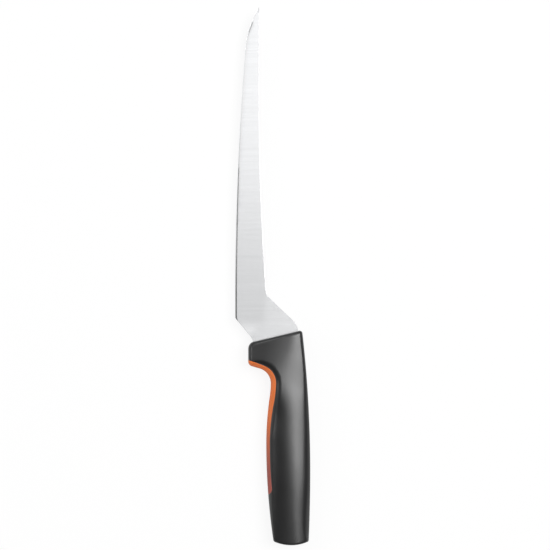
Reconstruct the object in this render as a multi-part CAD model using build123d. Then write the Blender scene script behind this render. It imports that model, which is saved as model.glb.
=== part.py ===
from build123d import *
import math
import os

# Fillet knife lying on its side: tip towards +Y, cutting edge towards -X, back towards +X.
# Sizes are in millimetres and angles in degrees.
# The outlines are drawn from the heel of the cutting edge, with the blade's middle plane at height zero.

# Cutting edge, from the heel to the tip
edge_length = 207.9
heel_straight = 12.2
point_length = 28.3
point_start_rise = 6.7
tip_rise = 15.97
tip_radius = 0.25

# Back of the blade
waist_rise = 15.75
waist_station = 148.9
bend_rise = 20.45
bend_station = 15.6
bend_radius = 5.6
heel_radius = 2.0

# Blade stock, the flat grind and the sharpened bevel
stock_thickness = 1.8
ground_edge_thickness = 0.64
grinding_wheel_radius = 180.0
grind_cutter_height = 3.0
bevel_angle = 15.0
bevel_reach = 1.8
edge_land = 0.05
straight_bevel_stations = 2
belly_bevel_stations = 6
point_bevel_stations = 6

# Cranked neck between the blade and the handle
neck_length = 10.0
neck_width = 30.9
neck_back_reach = 6.4
neck_back_rise = 4.8
neck_edge_rise = 2.3
neck_back_radius = 6.0
neck_edge_radius = 8.0

# Tang inside the handle
shoulder_depth = 4.0
shoulder_radius = 1.0
tang_width = 10.0
tang_length = 98.0
tang_root_radius = 1.5
tang_end_radius = 3.0
lock_hole_diameter = 5.0
lock_hole_shares = (0.26, 0.54, 0.82)

# Handle seen from the side, measured along it from its tilted front face
handle_length = 141.2
handle_width = 29.3
handle_thickness = 21.0
knuckle_clearance = 20.6
front_tilt = 13.3
back_front_drop = 5.4
back_crest_station = 91.1
butt_back_drop = 1.4
butt_belly_drop = 5.1
butt_height = 2.9
butt_corner_radius = 3.4
back_corner_radius = 3.4
rim_radius = 3.0
rim_facet_shares = (0.586, 0.215)
tang_axis_share = 0.514

# Guard and finger hollow
guard_drop = 11.8
guard_top_radius = 5.4
guard_nose_radius = 3.4
hollow_depth = 3.0
hollow_station = 32.6
finger_radius = 9.5
underside_tilt = 16.0
belly_crest_station = 73.6
hollow_run_share = 0.214

# Crown of the handle: each row is a place along the handle's length, then an oval's
# half width by handle width, half thickness by handle thickness, and centre across the handle
crown_shares = (
    (-0.05, 1.26, 0.400, 0.51),
    (0.14, 1.10, 0.415, 0.51),
    (0.27, 0.80, 0.440, 0.53),
    (0.40, 0.63, 0.480, 0.53),
    (0.55, 0.575, 0.500, 0.53),
    (0.80, 0.55, 0.470, 0.55),
    (1.03, 0.49, 0.400, 0.58),
)

# Hard core moulded round the tang
core_thickness = 10.0
core_inset = 5.0

# Soft belly pad let into the sleeve
pad_nose_depth = 3.8
pad_hollow_depth = 3.9
pad_hollow_drop = 3.5
pad_side_shares = (-0.095, 0.853)
pad_root_shares = (-0.516, 1.389)
pad_belly_depth = 2.7
pad_run_share = 0.30
pad_tail_length = 29.5
pad_tail_rise = 1.2
pad_end_length = 34.0
pad_end_drop = 2.4
peg_diameter = 5.0
peg_start = 1.6
peg_length = 4.8
peg_shares = (0.03, 0.50, 0.97)

# How far cutters run past what they cut, and how level a rim edge runs
overrun = 2.0
rim_rise_share = 0.6

# Places worked out from the sizes above
face_y = -neck_length
butt_y = face_y - handle_length
back_x = knuckle_clearance + handle_width
tang_axis_x = knuckle_clearance + handle_width * tang_axis_share
nose_x = knuckle_clearance - guard_drop
waist_x = knuckle_clearance + hollow_depth
face_slope = math.tan(math.radians(front_tilt))
face_along = Vector(math.cos(math.radians(front_tilt)), math.sin(math.radians(front_tilt)))
face_out = Vector(-face_along.Y, face_along.X)
heel = Vector(0, 0)
tip = Vector(tip_rise, edge_length)
chord_along = (tip - heel).normalized()
chord_in = Vector(chord_along.Y, -chord_along.X)
bend = Vector(bend_rise, bend_station)
half_stock = stock_thickness / 2


def front_face_point(x):
    """Point of the handle's tilted front face at a place across it."""
    return Vector(x, face_y + (x - tang_axis_x) * face_slope)


def nearest_vertex(sketch, point):
    """The corner of a sketch that lies nearest to a point."""
    return min(sketch.vertices(), key=lambda corner: (Vector(corner) - point).length)


def round_corner(sketch, point, radius):
    """Round the corner of a sketch that lies at a point."""
    return fillet(nearest_vertex(sketch, point), radius)


# Blade, neck and tang

def edge_curves():
    """The cutting edge from heel to tip: a straight, a long belly arc and the point's arc."""
    straight = Line(heel, (0, heel_straight))
    belly = TangentArc(straight @ 1, (point_start_rise, edge_length - point_length), tangent=straight % 1)
    point = TangentArc(belly @ 1, tip, tangent=belly % 1)
    return straight, belly, point


def neck_corners():
    """Corners of the neck: at the front face, above it and at the shoulder inside the handle."""
    axis_point = front_face_point(tang_axis_x)
    back_entry = axis_point + face_along * neck_back_reach
    edge_entry = back_entry - face_along * neck_width
    return {
        "back_top": back_entry + face_out * neck_back_rise,
        "back_shoulder": back_entry - face_out * shoulder_depth,
        "edge_shoulder": edge_entry - face_out * shoulder_depth,
        "edge_top": edge_entry + face_out * neck_edge_rise,
    }


def blade_outline():
    """Side outline of the blade with its neck and tang, as one flat sheet."""
    straight, belly, point = edge_curves()
    waist = Vector(waist_rise, waist_station)
    neck = neck_corners()
    curves = [
        straight,
        belly,
        point,
        TangentArc(waist, tip, tangent=(0, 1)),
        TangentArc(waist, bend, tangent=(0, -1)),
        Line(bend, neck["back_top"]),
        Line(neck["back_top"], neck["back_shoulder"]),
        Line(neck["back_shoulder"], neck["edge_shoulder"]),
        Line(neck["edge_shoulder"], neck["edge_top"]),
        Line(neck["edge_top"], heel),
    ]
    sheet = make_face(Curve() + curves)
    sheet = round_corner(sheet, neck["back_top"], neck_back_radius)
    sheet = round_corner(sheet, neck["edge_top"], neck_edge_radius)
    sheet = round_corner(sheet, neck["back_shoulder"], shoulder_radius)
    sheet = round_corner(sheet, neck["edge_shoulder"], shoulder_radius)
    sheet = round_corner(sheet, bend, bend_radius)
    sheet = round_corner(sheet, heel, heel_radius)
    sheet = round_corner(sheet, tip, tip_radius)
    bar_centre = Vector(tang_axis_x, face_y - tang_length / 2)
    bar = Pos(bar_centre.X, bar_centre.Y) * Rectangle(tang_width, tang_length)
    for side in (-1, 1):
        end_corner = bar_centre + Vector(side * tang_width / 2, -tang_length / 2)
        bar = round_corner(bar, end_corner, tang_end_radius)
    sheet = sheet + bar
    for side in (-1, 1):
        side_x = tang_axis_x + side * tang_width / 2
        root = front_face_point(side_x) - Vector(0, shoulder_depth / face_out.Y)
        sheet = round_corner(sheet, root, tang_root_radius)
    return sheet


def grind_cutter():
    """Stock ground off one side: a flat that thins towards the edge and runs out at the neck."""
    slope = (half_stock - ground_edge_thickness / 2) / bend.dot(chord_in)
    across = (chord_in + Vector(0, 0, slope)).normalized()
    start = Vector(heel.X, heel.Y, ground_edge_thickness / 2)
    side_view = Plane(origin=start, x_dir=chord_along, z_dir=across)
    far = edge_length + overrun
    run_out = math.sqrt(grind_cutter_height * (2 * grinding_wheel_radius - grind_cutter_height))
    profile = make_face(Curve() + [
        Line((0, 0), (far, 0)),
        Line((far, 0), (far, grind_cutter_height)),
        Line((far, grind_cutter_height), (-run_out, grind_cutter_height)),
        TangentArc((0, 0), (-run_out, grind_cutter_height), tangent=(-1, 0)),
    ])
    return extrude(side_view * profile, bend_rise + knuckle_clearance, both=True)


def bevel_cutter():
    """Ribbon-shaped wedge that leaves the sharpened bevel along one side of the edge."""
    straight, belly, point = edge_curves()
    stations = []
    for curve, count in (
        (straight, straight_bevel_stations),
        (belly, belly_bevel_stations),
        (point, point_bevel_stations),
    ):
        for step in range(count):
            share = step / count
            stations.append((curve @ share, curve % share))
    stations.append((point @ 1, point % 1))
    stations.append((point @ 1 + (point % 1) * overrun, point % 1))
    slope = math.tan(math.radians(bevel_angle))
    half_land = edge_land / 2
    top = half_land + bevel_reach * slope
    sections = []
    for place, along in stations:
        inward = Vector(along.Y, -along.X)
        section = Plane(origin=place, x_dir=inward, z_dir=inward.cross(Vector(0, 0, 1)))
        wedge = make_face(Polyline(
            (-overrun, half_land - overrun * slope),
            (bevel_reach, top),
            (-overrun, top),
            close=True,
        ))
        sections.append(section * wedge)
    return loft(sections, ruled=True)


def make_blade():
    """Stainless blade with its cranked neck and the tang that the handle is moulded onto."""
    blade = extrude(blade_outline(), half_stock, both=True)
    for cutter in (grind_cutter(), bevel_cutter()):
        blade = blade - cutter - mirror(cutter, Plane.XY)
    for share in lock_hole_shares:
        hole = Pos(tang_axis_x, face_y - tang_length * share) * Circle(lock_hole_diameter / 2)
        blade = blade - extrude(hole, stock_thickness, both=True)
    return blade


# Handle

def handle_corners():
    """Named corners and crests of the handle's side outline, before its corners are rounded."""
    butt_corner_y = butt_y + butt_height
    waist = Vector(waist_x, face_y - hollow_station)
    belly_crest = Vector(knuckle_clearance, face_y - belly_crest_station)
    tilt = math.radians(underside_tilt)
    root = waist + Vector(finger_radius * (math.sin(tilt) - 1), finger_radius * math.cos(tilt))
    return {
        "nose_top": front_face_point(nose_x),
        "back_front": front_face_point(back_x - back_front_drop),
        "back_crest": Vector(back_x, face_y - back_crest_station),
        "butt_back": Vector(back_x - butt_back_drop, butt_corner_y),
        "butt_belly": Vector(knuckle_clearance + butt_belly_drop, butt_corner_y),
        "belly_crest": belly_crest,
        "hollow_end": waist + (belly_crest - waist) * hollow_run_share,
        "waist": waist,
        "underside_root": root,
        "nose_low": Vector(nose_x, root.Y + (root.X - nose_x) * math.tan(tilt)),
    }


def handle_outline():
    """Side outline of the whole handle."""
    at = handle_corners()
    butt_apex = Vector((at["butt_back"].X + at["butt_belly"].X) / 2, butt_y)
    sheet = make_face(Curve() + [
        Line(at["nose_top"], at["back_front"]),
        TangentArc(at["back_crest"], at["back_front"], tangent=(0, 1)),
        TangentArc(at["back_crest"], at["butt_back"], tangent=(0, -1)),
        ThreePointArc(at["butt_back"], butt_apex, at["butt_belly"]),
        TangentArc(at["belly_crest"], at["butt_belly"], tangent=(0, -1)),
        TangentArc(at["belly_crest"], at["hollow_end"], tangent=(0, 1)),
        TangentArc(at["waist"], at["hollow_end"], tangent=(0, -1)),
        TangentArc(at["waist"], at["underside_root"], tangent=(0, 1)),
        Line(at["underside_root"], at["nose_low"]),
        Line(at["nose_low"], at["nose_top"]),
    ])
    sheet = round_corner(sheet, at["back_front"], back_corner_radius)
    sheet = round_corner(sheet, at["nose_top"], guard_top_radius)
    sheet = round_corner(sheet, at["nose_low"], guard_nose_radius)
    sheet = round_corner(sheet, at["butt_back"], butt_corner_radius)
    return round_corner(sheet, at["butt_belly"], butt_corner_radius)


def half_crown():
    """Upper half of a crowned body that swells at the palm and flattens over the guard."""
    ovals = []
    for place, half_width, half_thickness, centre in crown_shares:
        middle = Vector(knuckle_clearance + handle_width * centre, face_y - handle_length * place)
        section = Plane(origin=middle, x_dir=(1, 0, 0), z_dir=(0, -1, 0))
        across = handle_width * half_width
        height = handle_thickness * half_thickness
        arch = EllipticalCenterArc((0, 0), across, height, start_angle=0, arc_size=180)
        ovals.append(section * make_face(Curve() + [arch, Line((-across, 0), (across, 0))]))
    return loft(ovals)


def rim_edges(body):
    """Edges of the upper half where the crown meets the outline's wall."""
    rims = []
    for edge in body.edges():
        if (edge @ 0.5).Z > rim_radius / 2 and abs((edge % 0.5).Z) < rim_rise_share:
            rims.append(edge)
    return rims


def make_half_handle():
    """Upper half of the handle's outer form, not divided yet, with its rim rounded in narrow flats."""
    body = extrude(handle_outline(), handle_thickness) & half_crown()
    for share in rim_facet_shares:
        body = chamfer(rim_edges(body), rim_radius * share)
    return body


def both_halves(half):
    """An upper half joined to its mirror image below the blade's middle plane."""
    return half + mirror(half, Plane.XY)


def make_core_block():
    """Hard block round the tang, an even inset inside the handle's outline."""
    inner = offset(handle_outline(), -core_inset)
    return extrude(inner, core_thickness / 2, both=True)


def pad_region():
    """Side view of the belly pad's space: from outside the belly to its parting line."""
    at = handle_corners()
    waist = at["waist"] + Vector(pad_hollow_depth, -pad_hollow_drop)
    side = waist + Vector(*pad_side_shares) * finger_radius
    root = waist + Vector(*pad_root_shares) * finger_radius
    nose = at["nose_low"] + Vector(0, pad_nose_depth)
    crest = at["belly_crest"] + Vector(pad_belly_depth, 0)
    run_end = waist + (crest - waist) * pad_run_share
    tail = crest + Vector(pad_tail_rise, -pad_tail_length)
    end = crest - Vector(pad_end_drop, pad_end_length)
    outer_x = nose_x - overrun
    side_line = TangentArc(waist, side, tangent=(0, 1))
    root_line = TangentArc(side, root, tangent=side_line % 1)
    nose_line = TangentArc(root, nose, tangent=root_line % 1)
    nose_along = nose_line % 1
    outer_nose = nose + nose_along * (overrun / -nose_along.X)
    tail_line = TangentArc(crest, tail, tangent=(0, -1))
    return make_face(Curve() + [
        Line((outer_x, end.Y), outer_nose),
        Line(outer_nose, nose),
        nose_line,
        root_line,
        side_line,
        TangentArc(waist, run_end, tangent=(0, -1)),
        TangentArc(crest, run_end, tangent=(0, 1)),
        tail_line,
        TangentArc(tail, end, tangent=tail_line % 1),
        Line(end, (outer_x, end.Y)),
    ])


def make_pad_pegs():
    """Pegs on the pad's inner side that lock it into the hard core."""
    at = handle_corners()
    pegs = []
    for share in peg_shares:
        place = at["waist"] + (at["belly_crest"] - at["waist"]) * share
        section = Plane(origin=place + Vector(peg_start, 0), x_dir=(0, 1, 0), z_dir=(1, 0, 0))
        pegs.append(extrude(section * Circle(peg_diameter / 2), peg_length))
    return pegs


def make_handle(blade):
    """The three mouldings of the handle: core, sleeve and belly pad."""
    half = make_half_handle()
    region = extrude(pad_region(), handle_thickness)
    core = make_core_block()
    sleeve = both_halves(half - region) - core - blade
    core = core - blade
    pad = both_halves(half & region)
    for peg in make_pad_pegs():
        core = core - peg
        sleeve = sleeve - peg
        pad = pad + peg
    return core, sleeve, pad


# Finished pieces, set down on their lowest point with the origin under the middle of the knife

blade = make_blade()
core, sleeve, pad = make_handle(blade)
pieces = {"blade": blade, "handle_core": core, "grip_sleeve": sleeve, "belly_pad": pad}

box = Compound(children=[solid for piece in pieces.values() for solid in piece.solids()]).bounding_box()
middle = box.center()
stand = Pos(-middle.X, -middle.Y, -box.min.Z)

os.makedirs("parts", exist_ok=True)
for name, piece in pieces.items():
    export_step(stand * piece, f"parts/{name}.step")
    size = piece.bounding_box().size
    print(name, len(piece.solids()), "solid", round(piece.volume), "mm3", [round(s, 1) for s in size])
print("knife", [round(s, 2) for s in box.size])
print("moved by", [round(v, 3) for v in (-middle.X, -middle.Y, -box.min.Z)])
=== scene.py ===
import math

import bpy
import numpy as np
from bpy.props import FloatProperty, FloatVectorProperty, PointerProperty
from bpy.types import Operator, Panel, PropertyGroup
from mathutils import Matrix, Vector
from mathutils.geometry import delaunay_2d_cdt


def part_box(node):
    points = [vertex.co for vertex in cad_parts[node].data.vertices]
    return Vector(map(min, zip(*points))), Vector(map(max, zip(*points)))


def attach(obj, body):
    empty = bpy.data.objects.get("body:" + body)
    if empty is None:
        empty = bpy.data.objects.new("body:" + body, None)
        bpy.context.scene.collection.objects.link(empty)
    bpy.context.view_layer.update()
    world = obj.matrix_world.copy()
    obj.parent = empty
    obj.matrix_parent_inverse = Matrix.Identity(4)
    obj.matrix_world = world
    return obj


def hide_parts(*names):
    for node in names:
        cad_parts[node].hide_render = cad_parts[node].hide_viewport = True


bl_info = {
    "name": "Fillet knife",
    "version": (1, 0, 0),
    "blender": (4, 5, 0),
    "location": "3D View > Sidebar > Fillet knife",
    "description": "Ground steel blade, moulded sleeve and belly pad of a cranked fillet knife",
    "category": "Add Mesh",
}

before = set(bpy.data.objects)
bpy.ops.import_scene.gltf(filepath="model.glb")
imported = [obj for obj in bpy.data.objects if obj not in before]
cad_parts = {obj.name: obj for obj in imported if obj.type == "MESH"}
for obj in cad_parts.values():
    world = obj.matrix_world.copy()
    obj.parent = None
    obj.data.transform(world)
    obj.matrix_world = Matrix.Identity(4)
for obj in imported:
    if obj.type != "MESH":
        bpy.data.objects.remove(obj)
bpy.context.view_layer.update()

MM = 0.001

# Plans are drawn flat, as complex numbers x + iy in millimetres from the heel of the cutting edge.
# +x runs from the cutting edge to the back, +y to the tip, and height is measured from the middle plane.
TO_TIP = 1j
TO_BUTT = -1j
PLAN_STEP = 0.05

# Turn below which an arc is straight, distance below which two points are one, and how many points
# are worked out at a time
STRAIGHT_TURN = 1e-6
SAME_PLACE = 1e-5
BLOCK = 1000

# Spacing of the meshes: longest stretch and sharpest turn in degrees between the points of a line,
# distance between the points inside, and turn in degrees from ring to ring of the handle's rim
BLADE_STRETCH = 2.0
BLADE_TURN = 5.0
BLADE_SPACING = 2.4
RIM_STRETCH = 0.8
RIM_TURN = 5.0
RING_TURN = 10
PARTING_STRETCH = 0.7
PARTING_TURN = 4.0
HANDLE_SPACING = 1.3

# Sharpest fold in degrees that is shaded smooth
BLADE_CREASE = 8.0
HANDLE_CREASE = 40.0

# Cutting edge and back of the blade, as they are in the frame
EDGE_LENGTH = 207.9
HEEL_STRAIGHT = 12.2
POINT_LENGTH = 28.3
POINT_START_RISE = 6.7
TIP_RISE = 15.97
TIP_RADIUS = 0.25
WAIST = 15.75 + 148.9j
BEND = 20.45 + 15.6j
BEND_RADIUS = 5.6
HEEL_RADIUS = 2.0
STOCK = 1.8
GROUND_EDGE = 0.64
WHEEL_RADIUS = 180.0
EDGE_LAND = 0.05
SPINE_ROUND = 0.12
SPINE_RING_SHARES = (0.08, 0.3, 1.0)
WHEEL_REACH_SHARE = 0.9

# What keeps clear of the bevel, as shares of its width: its own inner line, the points inside and the spine
BEVEL_LINE_SHARE = 0.985
BEVEL_FILL_SHARE = 1.4
BEVEL_SPINE_SHARE = 1.5

# Neck between the blade and the handle
NECK_LENGTH = 10.0
NECK_WIDTH = 30.9
NECK_BACK_REACH = 6.4
NECK_BACK_RISE = 4.8
NECK_EDGE_RISE = 2.3
NECK_BACK_RADIUS = 6.0
NECK_EDGE_RADIUS = 8.0
SHOULDER_DEPTH = 4.0

# Handle seen from the side
HANDLE_LENGTH = 141.2
HANDLE_WIDTH = 29.3
HANDLE_THICKNESS = 21.0
KNUCKLE_CLEARANCE = 20.6
FRONT_TILT = 13.3
BACK_FRONT_DROP = 5.4
BACK_CREST_STATION = 91.1
BUTT_BACK_DROP = 1.0
BUTT_BELLY_DROP = 4.8
BUTT_HEIGHT = 2.9
BUTT_SAG = 2.4
BUTT_BACK_RADIUS = 1.4
BUTT_BELLY_RADIUS = 2.0
BACK_CORNER_RADIUS = 1.8
TANG_AXIS_SHARE = 0.514
GUARD_DROP = 12.0
GUARD_TOP_RADIUS = 4.8
GUARD_NOSE_RADIUS = 3.4
HOLLOW_DEPTH = 3.0
HOLLOW_STATION = 33.2
FINGER_RADIUS = 10.2
UNDERSIDE_TILT = 16.0
BELLY_CREST_STATION = 73.6
HOLLOW_RUN_SHARE = 0.214

# Crown of the handle: place along it, ridge across it, reach from the ridge to the belly and to the
# back, and half thickness
CROWN_SHARES = np.array([
    (-0.050, 0.550, 1.20, 0.60, 0.400),
    (0.055, 0.505, 1.15, 0.63, 0.418),
    (0.126, 0.364, 1.03, 0.85, 0.440),
    (0.220, 0.216, 0.72, 1.00, 0.474),
    (0.315, 0.430, 0.55, 0.72, 0.472),
    (0.504, 0.503, 0.55, 0.65, 0.482),
    (0.690, 0.559, 0.60, 0.59, 0.476),
    (0.880, 0.600, 0.64, 0.46, 0.434),
    (1.030, 0.640, 0.68, 0.42, 0.385),
])
CROWN_LEAST_SHARE = 0.02

# Roll-over of the rim: its setting, share of that width, depth as a share of the width, and power of
# the curve, 2 for a round one
RIM_SHARES = {
    "nose_top": ("guard_rim", 1.0, 0.9, 2.0),
    "back_front": ("guard_rim", 0.8, 0.9, 2.0),
    "upper_back": ("palm_rim", 0.45, 0.7, 2.0),
    "middle_back": ("palm_rim", 0.75, 0.4, 2.0),
    "back_crest": ("palm_rim", 1.0, 0.33, 2.0),
    "lower_back": ("palm_rim", 0.9, 0.33, 2.0),
    "butt_back": ("butt_rim", 1.0, 0.9, 2.0),
    "butt_belly": ("butt_rim", 1.0, 0.9, 2.0),
    "pad_end": ("belly_rim", 1.0, 0.6, 2.0),
    "belly_crest": ("belly_rim", 1.0, 0.8, 2.0),
    "hollow_end": ("hollow_rim", 1.0, 0.9, 1.7),
    "waist": ("hollow_rim", 1.0, 0.9, 1.5),
    "root": ("hollow_rim", 1.0, 0.9, 1.5),
    "nose_under": ("hollow_rim", 0.7, 0.9, 1.8),
    "nose_front": ("guard_rim", 1.0, 0.9, 2.0),
}
UPPER_BACK_SHARE = 0.3
MIDDLE_BACK_SHARE = 0.65
LOWER_BACK_SHARE = 0.85
NOSE_REACH = 3.0

# Deepest roll-over as a share of the crown's height, and how far the blend of the rim's values is
# softened beside the outline, in square millimetres
ROLL_LIMIT_SHARE = 0.62
BLEND_FLOOR = 0.05

# What keeps clear of the rim's rings and of the groove: rings as a share of their depth, points inside
# in millimetres from the outline and from the roll-over, groove's sides from the outline, and points
# beside the groove as a share of its width
RING_CLEAR_SHARE = 0.97
OUTLINE_CLEARANCE = 1.0
ROLL_CLEARANCE = 0.4
GROOVE_CLEARANCE = 0.3
GROOVE_CLEAR_SHARE = 1.8

# Soft pad: its depth and the turns of its parting line
PAD_NOSE_DEPTH = 3.43
PAD_HOLLOW_DEPTH = 3.42
PAD_HOLLOW_RISE = 0.41
PAD_SIDE_SHARE = -0.038 + 0.301j
PAD_ROOT_SHARE = -0.688 + 1.064j
PAD_BELLY_DEPTH = 2.30
PAD_RUN_SHARE = 0.317
PAD_TAIL_LENGTH = 29.5
PAD_TAIL_RISE = 1.4
PAD_END_LENGTH = 34.0
PAD_END_DROP = 2.4
PAD_SIDE_REACH = 30.0
OVERRUN = 4.0

# Stretch of the pad's length, from its lower end, over which brick turns to orange
PAD_FADE_SHARES = (0.18, 0.62)

# Range that most of a noise lies in, and what the materials make of it: darkest and brightest of the
# brushed bands, roughness up and down, and depth of the grain and the brush lines
NOISE_RANGE = (0.3, 0.7)
BAND_SHARES = (0.97, 1.025)
GRAIN_ROUGHNESS_SHARE = 0.06
GRAIN_DEPTH_SHARE = 0.2
BRUSH_ROUGHNESS_SHARE = 0.15
BRUSH_DEPTH_SHARE = 0.05

# Middle of the picture in the frame, in millimetres
PICTURE_CENTRE = (1.483, 0.844)

AXIS_X = KNUCKLE_CLEARANCE + HANDLE_WIDTH * TANG_AXIS_SHARE
BACK_X = KNUCKLE_CLEARANCE + HANDLE_WIDTH
FACE_ALONG = np.exp(1j * math.radians(FRONT_TILT))
FACE_OUT = 1j * FACE_ALONG
HEEL = 0j
TIP = TIP_RISE + 1j * EDGE_LENGTH

# The heel's place in the frame: the blade gives x, the butt gives y, the handle's thickness gives z
blade_low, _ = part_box("blade")
sleeve_low, sleeve_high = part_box("grip_sleeve")
DATUM = Vector((
    blade_low.x,
    sleeve_low.y + (NECK_LENGTH + HANDLE_LENGTH) * MM,
    (sleeve_low.z + sleeve_high.z) / 2,
))


class BladeSettings(PropertyGroup):
    """Finish of the steel."""

    bevel_width: FloatProperty(
        name="Bevel width", description="Width of the sharpened bevel, seen from the side",
        default=1.1 * MM, min=0.3 * MM, unit="LENGTH")
    steel: FloatVectorProperty(
        name="Steel", description="Colour of the brushed flats",
        default=(0.70, 0.705, 0.715), size=3, subtype="COLOR")
    roughness: FloatProperty(
        name="Roughness", description="How much the brushed flats spread a reflection",
        default=0.17, min=0.05, max=1.0, subtype="FACTOR")
    brush_pitch: FloatProperty(
        name="Brush pitch", description="Distance between brush lines across the blade",
        default=0.35 * MM, min=0.05 * MM, unit="LENGTH")


class HandleSettings(PropertyGroup):
    """Rims and finish of the sleeve and the pad."""

    hollow_rim: FloatProperty(
        name="Hollow rim", description="Width of the roll-over in the finger hollow",
        default=7.0 * MM, min=1.0 * MM, unit="LENGTH")
    belly_rim: FloatProperty(
        name="Belly rim", description="Width of the roll-over along the belly",
        default=4.0 * MM, min=1.0 * MM, unit="LENGTH")
    palm_rim: FloatProperty(
        name="Palm rim", description="Width of the roll-over at the crest of the back",
        default=5.5 * MM, min=1.0 * MM, unit="LENGTH")
    guard_rim: FloatProperty(
        name="Guard rim", description="Width of the roll-over round the guard",
        default=2.8 * MM, min=0.5 * MM, unit="LENGTH")
    butt_rim: FloatProperty(
        name="Butt rim", description="Width of the roll-over round the butt",
        default=1.3 * MM, min=0.5 * MM, unit="LENGTH")
    groove: FloatProperty(
        name="Parting groove", description="Width and depth of the line between sleeve and pad",
        default=0.26 * MM, min=0.02 * MM, unit="LENGTH")
    black: FloatVectorProperty(
        name="Sleeve", description="Colour of the sleeve",
        default=(0.0045, 0.0046, 0.005), size=3, subtype="COLOR")
    orange: FloatVectorProperty(
        name="Pad", description="Colour of the pad at the guard",
        default=(0.75, 0.168, 0.031), size=3, subtype="COLOR")
    brick: FloatVectorProperty(
        name="Pad end", description="Colour of the pad at its lower end",
        default=(0.33, 0.07, 0.05), size=3, subtype="COLOR")
    gloss: FloatProperty(
        name="Sleeve roughness", description="How much the sleeve spreads a reflection",
        default=0.33, min=0.05, max=1.0, subtype="FACTOR")
    grain: FloatProperty(
        name="Grain", description="Size of the mould's fine grain",
        default=0.22 * MM, min=0.05 * MM, unit="LENGTH")


class StageSettings(PropertyGroup):
    """Camera, lights and floor."""

    lens: FloatProperty(
        name="Lens", description="Focal length of the camera in millimetres",
        default=200.0, min=20.0)
    view_height: FloatProperty(
        name="View height", description="Height of the picture at the blade's plane",
        default=366.67 * MM, min=50 * MM, unit="LENGTH")
    sky: FloatProperty(
        name="Sky", description="Strength of the even light from all round",
        default=0.2, min=0.0)


# Flat plans

def line(start, end):
    """Points of a straight run."""
    count = max(2, int(abs(end - start) / PLAN_STEP))
    return start + (end - start) * np.linspace(0, 1, count + 1)


def arc(start, heading, end):
    """Points of the arc that leaves start along heading and ends at end."""
    chord = end - start
    turn = 2 * np.angle(chord / heading)
    if abs(turn) < STRAIGHT_TURN:
        return line(start, end)
    length = abs(chord) * (turn / 2) / math.sin(turn / 2)
    share = np.linspace(0, 1, max(2, int(abs(length) / PLAN_STEP)) + 1)
    return start + heading * length * (np.exp(1j * turn * share) - 1) / (1j * turn)


def heading_at_end(points):
    """Direction in which a run of points ends."""
    way = points[-1] - points[-2]
    return way / abs(way)


def joined(*runs):
    """Runs that meet end to end, as one run without doubled points."""
    return np.concatenate([runs[0]] + [run[1:] for run in runs[1:]])


def counterclockwise(plan):
    """The same closed plan, turned so that its inside lies to the left."""
    area = np.sum(plan.real * np.roll(plan, -1).imag - np.roll(plan, -1).real * plan.imag)
    return plan if area > 0 else plan[::-1]


def rounded(plan, corner, radius):
    """A closed counterclockwise plan with one corner rounded to an arc, convex or hollow."""
    at = int(np.argmin(abs(plan - corner)))
    plan = np.roll(plan, -at)
    reach = int(4 * radius / PLAN_STEP)
    after = plan[1:reach]
    before = plan[::-1][:reach - 1]
    go_after = np.gradient(after)
    go_before = -np.gradient(before)
    go_after = go_after / abs(go_after)
    go_before = go_before / abs(go_before)
    side = 1 if (go_after[0] / go_before[0]).imag > 0 else -1
    inner_after = after + 1j * side * go_after * radius
    inner_before = before + 1j * side * go_before * radius
    gap = abs(inner_before[:, None] - inner_after[None, :])
    near_before, near_after = np.unravel_index(np.argmin(gap), gap.shape)
    bend = arc(before[near_before], go_before[near_before], after[near_after])
    rest = plan[near_after + 1:len(plan) - near_before - 1]
    return np.concatenate([bend, rest[1:]])


def thinned(points, longest, sharpest, closed=True):
    """Fewer points: one for each stretch of that length or turn in degrees, whichever comes first."""
    way = np.diff(np.append(points, points[0]) if closed else points)
    keep = [0]
    run = 0.0
    turned = 0.0
    for index in range(1, len(points) - (0 if closed else 1)):
        run += abs(way[index - 1])
        turned += abs(math.degrees(np.angle(way[index] / way[index - 1])))
        if run >= longest or (turned >= sharpest and run > longest / 12):
            keep.append(index)
            run = 0.0
            turned = 0.0
    if not closed:
        keep.append(len(points) - 1)
    return points[keep]


def nearest(points, path, closed=True):
    """Distance from each point to a path, and the place on the path in counts of its points."""
    start = path if closed else path[:-1]
    end = np.roll(path, -1) if closed else path[1:]
    way = end - start
    size = abs(way) ** 2
    distance = np.empty(len(points))
    place = np.empty(len(points))
    for first in range(0, len(points), BLOCK):
        block = points[first:first + BLOCK, None]
        share = np.clip(((block - start) * np.conj(way)).real / size, 0, 1)
        gap = abs(block - start - share * way)
        best = np.argmin(gap, axis=1)
        rows = np.arange(len(best))
        distance[first:first + BLOCK] = gap[rows, best]
        place[first:first + BLOCK] = best + share[rows, best]
    return distance, place


def inside(points, plan):
    """Which points lie inside a closed plan."""
    start = plan
    end = np.roll(plan, -1)
    found = np.zeros(len(points), bool)
    for first in range(0, len(points), BLOCK):
        block = points[first:first + BLOCK, None]
        crosses = (start.imag > block.imag) != (end.imag > block.imag)
        rise = np.where(crosses, end.imag - start.imag, 1.0)
        at = start.real + (block.imag - start.imag) * (end.real - start.real) / rise
        found[first:first + BLOCK] = np.sum(crosses & (block.real < at), axis=1) % 2 == 1
    return found


def smooth_table(table, where):
    """Values of a table's columns at places along its first column, on a smooth curve through its rows."""
    place, values = table[:, 0], table[:, 1:]
    slope = np.gradient(values, place, axis=0)
    where = np.clip(where, place[0], place[-1])
    row = np.clip(np.searchsorted(place, where) - 1, 0, len(place) - 2)
    span = (place[row + 1] - place[row])[:, None]
    t = (where[:, None] - place[row][:, None]) / span
    return (
        (1 + 2 * t) * (1 - t) ** 2 * values[row]
        + t * (1 - t) ** 2 * span * slope[row]
        + t ** 2 * (3 - 2 * t) * values[row + 1]
        - t ** 2 * (1 - t) * span * slope[row + 1]
    )


# Solids from plans

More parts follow.
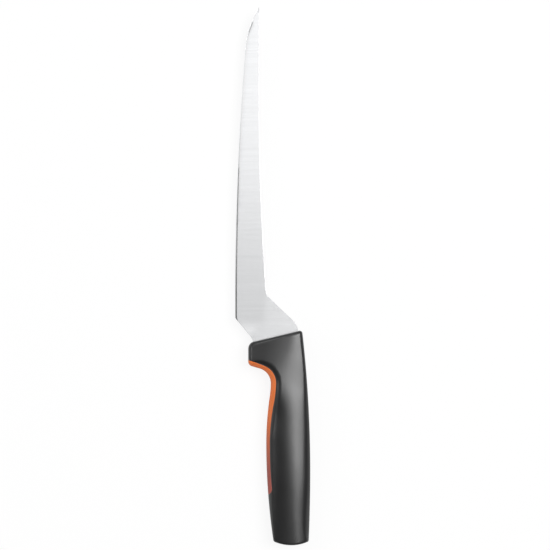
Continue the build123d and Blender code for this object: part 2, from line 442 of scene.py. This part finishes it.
def filling(plan, margin, spacing):
    """Staggered points that fill a plan up to a margin from its line."""
    rise = spacing * math.sqrt(3) / 2
    xs = np.arange(plan.real.min(), plan.real.max(), spacing)
    ys = np.arange(plan.imag.min(), plan.imag.max(), rise)
    grid = (xs[None, :] + (np.arange(len(ys)) % 2)[:, None] * spacing / 2 + 1j * ys[:, None]).ravel()
    grid = grid[inside(grid, plan)]
    return grid[nearest(grid, plan)[0] > margin]


def triangulated(plan, runs, loose):
    """Triangles of a closed plan that keep its line and the given runs, with loose points inside."""
    points = list(plan)
    count = len(plan)
    edges = [(i, (i + 1) % count) for i in range(count)]
    for run in runs:
        first = len(points)
        points.extend(run)
        edges.extend((first + i, first + i + 1) for i in range(len(run) - 1))
    points.extend(loose)
    flat = [Vector((p.real, p.imag)) for p in points]
    verts, _, faces, _, _, _ = delaunay_2d_cdt(flat, edges, [], 0, SAME_PLACE, False)
    points = np.array([complex(v.x, v.y) for v in verts])
    faces = np.array([tuple(face) for face in faces])
    centres = points[faces].mean(axis=1)
    return points, faces[inside(centres, plan)]


def build_solid(name, points, heights, faces):
    """Closed solid, alike above and below the middle plane, from flat triangles and half thicknesses."""
    used, upper = np.unique(faces, return_inverse=True)
    upper = [tuple(int(i) for i in face) for face in upper.reshape(faces.shape)]
    half = len(used)
    top = [(points[i].real, points[i].imag, heights[i]) for i in used]
    low = [(x, y, -z) for x, y, z in top]
    lower = [tuple(i + half for i in face[::-1]) for face in upper]
    sides = {}
    for face in upper:
        for start, end in zip(face, face[1:] + face[:1]):
            if (end, start) in sides:
                del sides[(end, start)]
            else:
                sides[(start, end)] = True
    walls = [(end, start, start + half, end + half) for start, end in sides]
    mesh = bpy.data.meshes.new(name)
    place = [tuple(DATUM + Vector(v) * MM) for v in top + low]
    mesh.from_pydata(place, [], upper + lower + walls)
    mesh.validate()
    mesh.update()
    piece = bpy.data.objects.new(name, mesh)
    bpy.context.scene.collection.objects.link(piece)
    return piece


def shade(piece, sharp_angle):
    """Smooth shading with creases kept where faces meet at more than the angle in degrees."""
    mesh = piece.data
    mesh.polygons.foreach_set("use_smooth", [True] * len(mesh.polygons))
    mesh.set_sharp_from_angle(angle=math.radians(sharp_angle))


# Blade

def edge_run():
    """The cutting edge from heel to tip: a straight, a long belly arc and the point's arc."""
    straight = line(HEEL, HEEL + TO_TIP * HEEL_STRAIGHT)
    belly = arc(straight[-1], TO_TIP, POINT_START_RISE + 1j * (EDGE_LENGTH - POINT_LENGTH))
    point = arc(belly[-1], heading_at_end(belly), TIP)
    return joined(straight, belly, point)


def front_face_point(x):
    """Point of the handle's tilted front face at a place across it."""
    return x + 1j * ((x - AXIS_X) * math.tan(math.radians(FRONT_TILT)) - NECK_LENGTH)


def neck_corners():
    """Corners of the neck at the handle's face, above it and at the shoulder inside the handle."""
    back_entry = front_face_point(AXIS_X) + FACE_ALONG * NECK_BACK_REACH
    edge_entry = back_entry - FACE_ALONG * NECK_WIDTH
    return {
        "back_top": back_entry + FACE_OUT * NECK_BACK_RISE,
        "back_shoulder": back_entry - FACE_OUT * SHOULDER_DEPTH,
        "edge_shoulder": edge_entry - FACE_OUT * SHOULDER_DEPTH,
        "edge_top": edge_entry + FACE_OUT * NECK_EDGE_RISE,
    }


def blade_plan():
    """Side outline of the blade with its neck, down to the shoulder inside the handle."""
    neck = neck_corners()
    plan = joined(
        edge_run(),
        arc(WAIST, TO_TIP, TIP)[::-1],
        arc(WAIST, TO_BUTT, BEND),
        line(BEND, neck["back_top"]),
        line(neck["back_top"], neck["back_shoulder"]),
        line(neck["back_shoulder"], neck["edge_shoulder"]),
        line(neck["edge_shoulder"], neck["edge_top"]),
        line(neck["edge_top"], HEEL),
    )[:-1]
    plan = counterclockwise(plan)
    for corner, radius in (
        (neck["back_top"], NECK_BACK_RADIUS),
        (neck["edge_top"], NECK_EDGE_RADIUS),
        (BEND, BEND_RADIUS),
        (HEEL, HEEL_RADIUS),
        (TIP, TIP_RADIUS),
    ):
        plan = rounded(plan, corner, radius)
    return plan


def blade_heights(points, plan, edge, bevel_width):
    """Half thickness of the blade: stock, flat grind with its wheel run-out, bevel and rounded spine."""
    along = (TIP - HEEL) / abs(TIP - HEEL)
    local = (points - HEEL) / along
    depth = -local.imag
    bend_depth = -((BEND - HEEL) / along).imag
    slope = (STOCK - GROUND_EDGE) / 2 / bend_depth
    back = np.clip(-local.real, 0, WHEEL_RADIUS * WHEEL_REACH_SHARE)
    lift = WHEEL_RADIUS - np.sqrt(WHEEL_RADIUS ** 2 - back ** 2)
    heights = np.minimum(STOCK / 2, GROUND_EDGE / 2 + slope * depth + lift)
    to_edge, _ = nearest(points, edge, closed=False)
    bevel = EDGE_LAND / 2 + to_edge * (GROUND_EDGE - EDGE_LAND) / 2 / bevel_width
    heights = np.where(to_edge < bevel_width, np.minimum(heights, bevel), heights)
    to_side, _ = nearest(points, plan)
    spine = (to_edge > bevel_width * BEVEL_SPINE_SHARE) & (to_side < SPINE_ROUND)
    short = 1 - to_side / SPINE_ROUND
    drop = SPINE_ROUND * (1 - np.sqrt(np.clip(1 - short ** 2, 0, 1)))
    return np.where(spine, heights - drop, heights)


def shifted(plan, depths):
    """Points set in from a closed counterclockwise plan by a depth each, kept clear of its other sides."""
    way = np.roll(plan, -1) - np.roll(plan, 1)
    moved = plan + 1j * way / abs(way) * depths
    gap, _ = nearest(moved, plan)
    return moved[(gap > depths * RING_CLEAR_SHARE) & inside(moved, plan)]


def bevel_run(full, bevel_width):
    """Inner line of the bevel, set in from the cutting edge and kept inside the blade's plan."""
    edge = edge_run()
    way = np.gradient(edge)
    moved = edge - 1j * way / abs(way) * bevel_width
    clear = nearest(moved, full)[0] > bevel_width * BEVEL_LINE_SHARE
    return thinned(moved[clear & inside(moved, full)], BLADE_STRETCH, BLADE_TURN, closed=False)


def make_blade(settings):
    """The whole blade as one closed mesh."""
    bevel_width = settings.bevel_width / MM
    full = blade_plan()
    plan = thinned(full, BLADE_STRETCH, BLADE_TURN)
    edge = thinned(edge_run(), BLADE_STRETCH, BLADE_TURN, closed=False)
    loose = [shifted(plan, np.full(len(plan), SPINE_ROUND * share)) for share in SPINE_RING_SHARES]
    loose.append(filling(plan, bevel_width * BEVEL_FILL_SHARE, BLADE_SPACING))
    points, faces = triangulated(plan, [bevel_run(full, bevel_width)], np.concatenate(loose))
    heights = blade_heights(points, plan, edge, bevel_width)
    return build_solid("blade_steel", points, heights, faces)


# Handle

def handle_corners():
    """Named corners and crests of the handle's side outline, before its corners are rounded."""
    face_y = -NECK_LENGTH
    butt_y = face_y - HANDLE_LENGTH + BUTT_HEIGHT
    waist = KNUCKLE_CLEARANCE + HOLLOW_DEPTH + 1j * (face_y - HOLLOW_STATION)
    belly_crest = KNUCKLE_CLEARANCE + 1j * (face_y - BELLY_CREST_STATION)
    tilt = math.radians(UNDERSIDE_TILT)
    root = waist + FINGER_RADIUS * (math.sin(tilt) - 1 + 1j * math.cos(tilt))
    nose_x = KNUCKLE_CLEARANCE - GUARD_DROP
    return {
        "nose_top": front_face_point(nose_x),
        "back_front": front_face_point(BACK_X - BACK_FRONT_DROP),
        "back_crest": BACK_X + 1j * (face_y - BACK_CREST_STATION),
        "butt_back": BACK_X - BUTT_BACK_DROP + 1j * butt_y,
        "butt_belly": KNUCKLE_CLEARANCE + BUTT_BELLY_DROP + 1j * butt_y,
        "belly_crest": belly_crest,
        "hollow_end": waist + (belly_crest - waist) * HOLLOW_RUN_SHARE,
        "waist": waist,
        "root": root,
        "nose_low": nose_x + 1j * (root.imag + (root.real - nose_x) * math.tan(tilt)),
    }


def handle_plan():
    """Side outline of the whole handle."""
    at = handle_corners()
    butt = at["butt_belly"] - at["butt_back"]
    sag = 2 * math.atan(2 * BUTT_SAG / abs(butt))
    plan = joined(
        line(at["nose_top"], at["back_front"]),
        arc(at["back_crest"], TO_TIP, at["back_front"])[::-1],
        arc(at["back_crest"], TO_BUTT, at["butt_back"]),
        arc(at["butt_back"], butt / abs(butt) * np.exp(1j * sag), at["butt_belly"]),
        arc(at["belly_crest"], TO_BUTT, at["butt_belly"])[::-1],
        arc(at["belly_crest"], TO_TIP, at["hollow_end"]),
        arc(at["waist"], TO_BUTT, at["hollow_end"])[::-1],
        arc(at["waist"], TO_TIP, at["root"]),
        line(at["root"], at["nose_low"]),
        line(at["nose_low"], at["nose_top"]),
    )[:-1]
    plan = counterclockwise(plan)
    for corner, radius in (
        ("nose_top", GUARD_TOP_RADIUS),
        ("back_front", BACK_CORNER_RADIUS),
        ("nose_low", GUARD_NOSE_RADIUS),
        ("butt_back", BUTT_BACK_RADIUS),
        ("butt_belly", BUTT_BELLY_RADIUS),
    ):
        plan = rounded(plan, at[corner], radius)
    return plan


def parting_run():
    """Parting line between sleeve and pad, from past the nose to past the belly."""
    at = handle_corners()
    waist = at["waist"] + PAD_HOLLOW_DEPTH + 1j * PAD_HOLLOW_RISE
    side = waist + PAD_SIDE_SHARE * FINGER_RADIUS
    root = waist + PAD_ROOT_SHARE * FINGER_RADIUS
    nose = at["nose_low"] + 1j * PAD_NOSE_DEPTH
    crest = at["belly_crest"] + PAD_BELLY_DEPTH
    run_end = waist + (crest - waist) * PAD_RUN_SHARE
    tail = crest + PAD_TAIL_RISE - 1j * PAD_TAIL_LENGTH
    end = crest - PAD_END_DROP - 1j * PAD_END_LENGTH
    side_run = arc(waist, TO_TIP, side)
    root_run = arc(side, heading_at_end(side_run), root)
    nose_run = arc(root, heading_at_end(root_run), nose)
    tail_run = arc(crest, TO_BUTT, tail)
    end_run = arc(tail, heading_at_end(tail_run), end)
    return joined(
        line(nose + heading_at_end(nose_run) * OVERRUN, nose),
        nose_run[::-1],
        root_run[::-1],
        side_run[::-1],
        arc(waist, TO_BUTT, run_end),
        arc(crest, TO_TIP, run_end)[::-1],
        tail_run,
        end_run,
        line(end, end + heading_at_end(end_run) * OVERRUN),
    )


def crown_heights(points):
    """Height of the crowned body above the middle plane."""
    along = (-NECK_LENGTH - points.imag) / HANDLE_LENGTH
    ridge, to_belly, to_back, half_thickness = smooth_table(CROWN_SHARES, along).T
    across = (points.real - KNUCKLE_CLEARANCE) / HANDLE_WIDTH - ridge
    across = across / np.where(across < 0, to_belly, to_back)
    return HANDLE_THICKNESS * half_thickness * np.sqrt(np.clip(1 - across ** 2, CROWN_LEAST_SHARE, 1))


def rim_places():
    """Places round the outline for the rows of the rim's table."""
    at = handle_corners()
    back_run = at["back_crest"] - at["back_front"]
    butt_run = at["butt_back"] - at["back_crest"]
    return {
        **at,
        "upper_back": at["back_front"] + back_run * UPPER_BACK_SHARE,
        "middle_back": at["back_front"] + back_run * MIDDLE_BACK_SHARE,
        "lower_back": at["back_crest"] + butt_run * LOWER_BACK_SHARE,
        "pad_end": at["belly_crest"] + TO_BUTT * PAD_END_LENGTH,
        "nose_under": at["nose_low"] + NOSE_REACH,
        "nose_front": at["nose_low"] + TO_TIP * NOSE_REACH,
    }


def rim_values(settings, plan):
    """Width, depth share and power of the roll-over at each point of the handle's plan."""
    at = rim_places()
    stations = np.array([
        (at[name], getattr(settings, rim) / MM * width_share, depth_share, power)
        for name, (rim, width_share, depth_share, power) in RIM_SHARES.items()
    ])
    places = nearest(stations[:, 0], plan)[1]
    order = np.argsort(places)
    run = np.arange(len(plan))
    return [
        np.interp(run, places[order], stations[order, column].real, period=len(plan))
        for column in (1, 2, 3)
    ]


def blended(rims, points, plan):
    """The rim's values for each point, weighted by how near the parts of the plan are."""
    values = np.empty((len(rims), len(points)))
    for first in range(0, len(points), BLOCK):
        block = points[first:first + BLOCK, None]
        weight = 1 / (abs(block - plan) ** 2 + BLEND_FLOOR) ** 2
        for row, rim in enumerate(rims):
            values[row, first:first + BLOCK] = weight @ rim / weight.sum(axis=1)
    return values


def handle_heights(rims, groove, points, plan, parting):
    """Half thickness of the handle: its crown, less the roll-over at the rim and the parting groove."""
    crown = crown_heights(points)
    widths, shares, powers = blended(rims, points, plan)
    depth = np.minimum(widths * shares, crown * ROLL_LIMIT_SHARE)
    gap, _ = nearest(points, plan)
    short = 1 - np.clip(gap / widths, 0, 1)
    heights = crown - depth * (1 - (1 - short ** powers) ** (1 / powers))
    from_line, _ = nearest(points, parting, closed=False)
    return heights - groove * np.clip(1 - from_line / groove, 0, 1)


def divided_plan():
    """The handle's plan and the parting line, thinned, with both ends of the line on the plan."""
    full = handle_plan()
    dense = parting_run()
    within = np.flatnonzero(inside(dense, full))
    parting = thinned(dense[within[0]:within[-1] + 1], PARTING_STRETCH, PARTING_TURN, closed=False)
    ends = nearest(parting[[0, -1]], full)[1].round().astype(int) % len(full)
    parting[0], parting[-1] = full[ends[0]], full[ends[1]]
    plan = thinned(np.roll(full, -ends[0]), RIM_STRETCH, RIM_TURN)
    if abs(plan - parting[-1]).min() > 0:
        place = nearest(parting[-1:], plan)[1][0]
        plan = np.insert(plan, int(place) + 1, parting[-1])
    return plan, parting


def make_handle(settings):
    """Sleeve and pad as two closed meshes that meet along the parting line."""
    plan, parting = divided_plan()
    rims = rim_values(settings, plan)
    turns = np.radians(range(RING_TURN, 90 + RING_TURN, RING_TURN))
    loose = [shifted(plan, rims[0] * (1 - math.cos(turn))) for turn in turns]
    groove = settings.groove / MM
    way = np.gradient(parting)
    sides = [parting + 1j * side * way / abs(way) * groove for side in (-1, 1)]
    sides = [side[(nearest(side, plan)[0] > GROOVE_CLEARANCE) & inside(side, plan)] for side in sides]
    fill = filling(plan, OUTLINE_CLEARANCE, HANDLE_SPACING)
    fill_widths = blended(rims, fill, plan)[0]
    loose.append(fill[nearest(fill, plan)[0] > fill_widths + ROLL_CLEARANCE])
    loose = np.concatenate(loose)
    loose = loose[nearest(loose, parting, closed=False)[0] > groove * GROOVE_CLEAR_SHARE]
    points, faces = triangulated(plan, [parting] + sides, loose)
    heights = handle_heights(rims, groove, points, plan, parting)
    line_run = parting_run()
    region = np.append(line_run, line_run[[-1, 0]] - PAD_SIDE_REACH)
    in_pad = inside(points[faces].mean(axis=1), region)
    sleeve = build_solid("grip_sleeve_skin", points, heights, faces[~in_pad])
    pad = build_solid("belly_pad_skin", points, heights, faces[in_pad])
    return sleeve, pad


# Materials

def new_material(name):
    """A material with an empty Principled shader, and the means to add nodes to it."""
    material = bpy.data.materials.new(name)
    material.use_nodes = True
    nodes = material.node_tree.nodes
    return material, nodes, material.node_tree.links, nodes["Principled BSDF"]


def grain_group():
    """Shader group: fine grain on object coordinates, as a height and as a mask."""
    group = bpy.data.node_groups.new("mould_grain", "ShaderNodeTree")
    face = group.interface
    face.new_socket("Size", in_out="INPUT", socket_type="NodeSocketFloat")
    face.new_socket("Height", in_out="OUTPUT", socket_type="NodeSocketFloat")
    face.new_socket("Mask", in_out="OUTPUT", socket_type="NodeSocketFloat")
    nodes, links = group.nodes, group.links
    entry = nodes.new("NodeGroupInput")
    leave = nodes.new("NodeGroupOutput")
    place = nodes.new("ShaderNodeTexCoord")
    scale = nodes.new("ShaderNodeMath")
    scale.operation = "DIVIDE"
    scale.inputs[0].default_value = 1.0
    links.new(entry.outputs["Size"], scale.inputs[1])
    fine = nodes.new("ShaderNodeTexNoise")
    fine.inputs["Detail"].default_value = 3.0
    fine.inputs["Roughness"].default_value = 0.6
    links.new(place.outputs["Object"], fine.inputs["Vector"])
    links.new(scale.outputs[0], fine.inputs["Scale"])
    broad = nodes.new("ShaderNodeTexNoise")
    broad.inputs["Scale"].default_value = 60.0
    broad.inputs["Detail"].default_value = 4.0
    links.new(place.outputs["Object"], broad.inputs["Vector"])
    links.new(fine.outputs["Fac"], leave.inputs["Height"])
    links.new(broad.outputs["Fac"], leave.inputs["Mask"])
    return group


def spread(nodes, links, source, middle, share):
    """A noise spread over a range of values: a middle, and a share of it up and down."""
    reach = nodes.new("ShaderNodeMapRange")
    reach.inputs["From Min"].default_value = NOISE_RANGE[0]
    reach.inputs["From Max"].default_value = NOISE_RANGE[1]
    reach.inputs["To Min"].default_value = middle * (1 - share)
    reach.inputs["To Max"].default_value = middle * (1 + share)
    links.new(source, reach.inputs["Value"])
    return reach.outputs["Result"]


def add_grain(nodes, links, shader, size, strength, roughness):
    """Moulded grain on a shader's normal, with a little change in its roughness."""
    grain = nodes.new("ShaderNodeGroup")
    grain.node_tree = bpy.data.node_groups.get("mould_grain") or grain_group()
    grain.inputs["Size"].default_value = size
    bump = nodes.new("ShaderNodeBump")
    bump.inputs["Strength"].default_value = strength
    bump.inputs["Distance"].default_value = size * GRAIN_DEPTH_SHARE
    links.new(grain.outputs["Height"], bump.inputs["Height"])
    links.new(bump.outputs["Normal"], shader.inputs["Normal"])
    rough = spread(nodes, links, grain.outputs["Mask"], roughness, GRAIN_ROUGHNESS_SHARE)
    links.new(rough, shader.inputs["Roughness"])


def sleeve_material(settings):
    """Black moulded sleeve, satin with a very fine grain."""
    material, nodes, links, shader = new_material("moulded_sleeve_black")
    shader.inputs["Base Color"].default_value = (*settings.black, 1)
    shader.inputs["Specular IOR Level"].default_value = 0.65
    add_grain(nodes, links, shader, size=settings.grain, strength=0.25, roughness=settings.gloss)
    return material


def pad_material(settings):
    """Soft orange pad that deepens to brick red at its lower end."""
    material, nodes, links, shader = new_material("soft_pad_orange")
    place = nodes.new("ShaderNodeTexCoord")
    split = nodes.new("ShaderNodeSeparateXYZ")
    links.new(place.outputs["Object"], split.inputs["Vector"])
    low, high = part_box("belly_pad")
    run = nodes.new("ShaderNodeMapRange")
    run.inputs["From Min"].default_value = low.y + (high.y - low.y) * PAD_FADE_SHARES[0]
    run.inputs["From Max"].default_value = low.y + (high.y - low.y) * PAD_FADE_SHARES[1]
    links.new(split.outputs["Y"], run.inputs["Value"])
    ramp = nodes.new("ShaderNodeValToRGB")
    ramp.color_ramp.elements[0].color = (*settings.brick, 1)
    ramp.color_ramp.elements[1].color = (*settings.orange, 1)
    links.new(run.outputs["Result"], ramp.inputs["Fac"])
    links.new(ramp.outputs["Color"], shader.inputs["Base Color"])
    add_grain(nodes, links, shader, size=settings.grain * 1.3, strength=0.35, roughness=0.58)
    return material


def core_material():
    """Hard plastic inside the sleeve, as moulded."""
    material, nodes, links, shader = new_material("hard_core_plastic")
    shader.inputs["Base Color"].default_value = (0.05, 0.05, 0.055, 1)
    add_grain(nodes, links, shader, size=0.4 * MM, strength=0.2, roughness=0.5)
    return material


def brushing_group():
    """Shader group: lines brushed across the blade, as a height and as a mask."""
    group = bpy.data.node_groups.new("cross_brushing", "ShaderNodeTree")
    face = group.interface
    face.new_socket("Pitch", in_out="INPUT", socket_type="NodeSocketFloat")
    face.new_socket("Height", in_out="OUTPUT", socket_type="NodeSocketFloat")
    face.new_socket("Mask", in_out="OUTPUT", socket_type="NodeSocketFloat")
    nodes, links = group.nodes, group.links
    entry = nodes.new("NodeGroupInput")
    leave = nodes.new("NodeGroupOutput")
    place = nodes.new("ShaderNodeTexCoord")
    outputs = []
    for stretch, times in ((0.02, 1.0), (0.035, 0.22)):
        mapping = nodes.new("ShaderNodeMapping")
        mapping.inputs["Scale"].default_value = (stretch, 1.0, stretch)
        mapping.inputs["Rotation"].default_value = (0, 0, math.radians(1.5))
        links.new(place.outputs["Object"], mapping.inputs["Vector"])
        scale = nodes.new("ShaderNodeMath")
        scale.operation = "DIVIDE"
        scale.inputs[0].default_value = times
        links.new(entry.outputs["Pitch"], scale.inputs[1])
        noise = nodes.new("ShaderNodeTexNoise")
        noise.inputs["Detail"].default_value = 4.0
        noise.inputs["Roughness"].default_value = 0.65
        noise.inputs["Distortion"].default_value = 0.15
        links.new(mapping.outputs["Vector"], noise.inputs["Vector"])
        links.new(scale.outputs[0], noise.inputs["Scale"])
        outputs.append(noise.outputs["Fac"])
    links.new(outputs[0], leave.inputs["Height"])
    links.new(outputs[1], leave.inputs["Mask"])
    return group


def steel_material(settings):
    """Steel with lines brushed across the blade."""
    material, nodes, links, shader = new_material("brushed_flat_steel")
    shader.inputs["Metallic"].default_value = 1.0
    brushing = nodes.new("ShaderNodeGroup")
    brushing.node_tree = bpy.data.node_groups.get("cross_brushing") or brushing_group()
    brushing.inputs["Pitch"].default_value = settings.brush_pitch
    ramp = nodes.new("ShaderNodeValToRGB")
    for element, place, share in zip(ramp.color_ramp.elements, NOISE_RANGE, BAND_SHARES):
        element.position = place
        element.color = (*[min(1.0, channel * share) for channel in settings.steel], 1)
    links.new(brushing.outputs["Mask"], ramp.inputs["Fac"])
    links.new(ramp.outputs["Color"], shader.inputs["Base Color"])
    rough = spread(nodes, links, brushing.outputs["Height"], settings.roughness, BRUSH_ROUGHNESS_SHARE)
    links.new(rough, shader.inputs["Roughness"])
    bump = nodes.new("ShaderNodeBump")
    bump.inputs["Strength"].default_value = 0.25
    bump.inputs["Distance"].default_value = settings.brush_pitch * BRUSH_DEPTH_SHARE
    links.new(brushing.outputs["Height"], bump.inputs["Height"])
    links.new(bump.outputs["Normal"], shader.inputs["Normal"])
    return material


# Stage

def white_for_view(nodes, links, shader, output, white_share):
    """Adds plain white to what the camera and reflections see, and leaves the rest as lit."""
    rays = nodes.new("ShaderNodeLightPath")
    seen = rays.outputs["Is Camera Ray"]
    for name in ("Is Glossy Ray", "Is Transmission Ray"):
        either = nodes.new("ShaderNodeMath")
        either.operation = "MAXIMUM"
        links.new(seen, either.inputs[0])
        links.new(rays.outputs[name], either.inputs[1])
        seen = either.outputs[0]
    share = nodes.new("ShaderNodeMath")
    share.operation = "MULTIPLY"
    share.inputs[1].default_value = white_share
    links.new(seen, share.inputs[0])
    glow = nodes.new("ShaderNodeEmission")
    glow.inputs["Strength"].default_value = 1.0
    mix = nodes.new("ShaderNodeMixShader")
    links.new(share.outputs[0], mix.inputs["Fac"])
    links.new(shader, mix.inputs[1])
    links.new(glow.outputs[0], mix.inputs[2])
    links.new(mix.outputs[0], output)


# Radius and height in metres of the floor's rings, and points on each
FLOOR_RINGS = ((1.0, 0.0), (4.0, 0.0), (5.0, 0.12), (6.0, 0.6), (6.4, 1.4))
FLOOR_STEPS = 96


def make_floor():
    """Wide pale floor that sweeps up far from the knife."""
    verts = [(0.0, 0.0, 0.0)]
    faces = []
    for radius, height in FLOOR_RINGS:
        for step in range(FLOOR_STEPS):
            turn = 2 * math.pi * step / FLOOR_STEPS
            verts.append((radius * math.cos(turn), radius * math.sin(turn), height))
    for step in range(FLOOR_STEPS):
        after = (step + 1) % FLOOR_STEPS
        faces.append((0, 1 + step, 1 + after))
        for ring in range(len(FLOOR_RINGS) - 1):
            first = 1 + ring * FLOOR_STEPS
            outer = first + FLOOR_STEPS
            faces.append((first + step, outer + step, outer + after, first + after))
    mesh = bpy.data.meshes.new("stage_floor")
    mesh.from_pydata(verts, [], faces)
    mesh.polygons.foreach_set("use_smooth", [True] * len(mesh.polygons))
    floor = bpy.data.objects.new("stage_floor", mesh)
    bpy.context.scene.collection.objects.link(floor)
    material, nodes, links, shader = new_material("pale_floor")
    shader.inputs["Base Color"].default_value = (0.86, 0.86, 0.86, 1)
    shader.inputs["Roughness"].default_value = 0.9
    shader.inputs["Specular IOR Level"].default_value = 0.1
    surface = nodes["Material Output"].inputs["Surface"]
    white_for_view(nodes, links, shader.outputs[0], surface, white_share=0.9)
    mesh.materials.append(material)


def softbox(name, toward, distance, size, radiance):
    """Rectangular light that looks at the knife, from a direction given as x and y tilts in degrees."""
    light = bpy.data.lights.new(name, "AREA")
    light.shape = "RECTANGLE"
    light.size, light.size_y = size
    light.energy = radiance * math.pi * size[0] * size[1]
    lamp = bpy.data.objects.new(name, light)
    x, y = (math.tan(math.radians(tilt)) for tilt in toward)
    way = Vector((x, y, 1)).normalized()
    lamp.location = way * distance
    lamp.rotation_euler = way.to_track_quat("Z", "Y").to_euler()
    bpy.context.scene.collection.objects.link(lamp)


# Tilts toward +x and +y in degrees, distance, width and length in metres, and radiance
SOFTBOXES = {
    "overhead_box": ((5, 4), 2.6, (1.5, 1.6), 0.6),
    "tip_box": ((0, 14.8), 2.5, (1.2, 1.1), 0.46),
    "point_box": ((-29, 16), 3.0, (1.0, 1.0), 1.2),
    "palm_box": ((23, 8), 2.7, (1.25, 1.5), 9.5),
    "guard_box": ((-22, 46), 3.0, (1.9, 0.9), 3.4),
    "edge_box": ((-53, 12), 3.0, (0.9, 0.8), 4.6),
}


# Operators

class KNIFE_OT_blade(Operator):
    """Build the ground and bevelled blade"""

    bl_idname = "knife.blade"
    bl_label = "Blade"

    def execute(self, context):
        settings = context.scene.knife_blade
        piece = make_blade(settings)
        piece.data.materials.append(steel_material(settings))
        shade(piece, BLADE_CREASE)
        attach(piece, "root")
        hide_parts("blade")
        return {"FINISHED"}


class KNIFE_OT_handle(Operator):
    """Build the black sleeve and the soft pad let into it"""

    bl_idname = "knife.handle"
    bl_label = "Handle"

    def execute(self, context):
        settings = context.scene.knife_handle
        sleeve, pad = make_handle(settings)
        for piece, node, slot, material in (
            (sleeve, "grip_sleeve", "grip_black", sleeve_material(settings)),
            (pad, "belly_pad", "pad_orange", pad_material(settings)),
        ):
            piece.data.materials.append(material)
            shade(piece, HANDLE_CREASE)
            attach(piece, "root")
            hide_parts(node)
        return {"FINISHED"}


class KNIFE_OT_core(Operator):
    """Finish the hard core that the handle hides"""

    bl_idname = "knife.core"
    bl_label = "Core"

    def execute(self, context):
        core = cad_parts["handle_core"]
        core.data.materials.clear()
        core.data.materials.append(core_material())
        return {"FINISHED"}


class KNIFE_OT_stage(Operator):
    """Set the camera, the lights and the floor"""

    bl_idname = "knife.stage"
    bl_label = "Stage"

    def execute(self, context):
        settings = context.scene.knife_stage
        scene = context.scene
        scene.view_settings.view_transform = "Standard"
        make_floor()
        for name, (toward, distance, size, radiance) in SOFTBOXES.items():
            softbox(name, toward, distance, size, radiance)
        world = bpy.data.worlds.new("even_sky")
        world.use_nodes = True
        world.node_tree.nodes["Background"].inputs["Color"].default_value = (1, 1, 1, 1)
        world.node_tree.nodes["Background"].inputs["Strength"].default_value = settings.sky
        scene.world = world
        camera = bpy.data.objects.new("camera", bpy.data.cameras.new("camera"))
        camera.data.lens = settings.lens
        reach = settings.lens / camera.data.sensor_width * settings.view_height
        camera.location = (PICTURE_CENTRE[0] * MM, PICTURE_CENTRE[1] * MM, DATUM.z + reach)
        scene.collection.objects.link(camera)
        scene.camera = camera
        return {"FINISHED"}


class KNIFE_PT_panel(Panel):
    """Lists the pieces and their settings"""

    bl_label = "Fillet knife"
    bl_idname = "KNIFE_PT_panel"
    bl_space_type = "VIEW_3D"
    bl_region_type = "UI"
    bl_category = "Fillet knife"

    def draw(self, context):
        scene = context.scene
        for operator, settings in (
            ("knife.blade", scene.knife_blade),
            ("knife.handle", scene.knife_handle),
            ("knife.core", None),
            ("knife.stage", scene.knife_stage),
        ):
            column = self.layout.column()
            column.operator(operator)
            if settings:
                for name in settings.__annotations__:
                    column.prop(settings, name)


CLASSES = (
    BladeSettings,
    HandleSettings,
    StageSettings,
    KNIFE_OT_blade,
    KNIFE_OT_handle,
    KNIFE_OT_core,
    KNIFE_OT_stage,
    KNIFE_PT_panel,
)


def register():
    """Make the classes and their settings known to Blender."""
    for cls in CLASSES:
        bpy.utils.register_class(cls)
    bpy.types.Scene.knife_blade = PointerProperty(type=BladeSettings)
    bpy.types.Scene.knife_handle = PointerProperty(type=HandleSettings)
    bpy.types.Scene.knife_stage = PointerProperty(type=StageSettings)


def unregister():
    """Take the settings and classes out again."""
    del bpy.types.Scene.knife_stage
    del bpy.types.Scene.knife_handle
    del bpy.types.Scene.knife_blade
    for cls in reversed(CLASSES):
        bpy.utils.unregister_class(cls)


def main():
    """Build every piece and the stage."""
    register()
    bpy.ops.knife.blade()
    bpy.ops.knife.handle()
    bpy.ops.knife.core()
    bpy.ops.knife.stage()


if __name__ == "__main__":
    main()
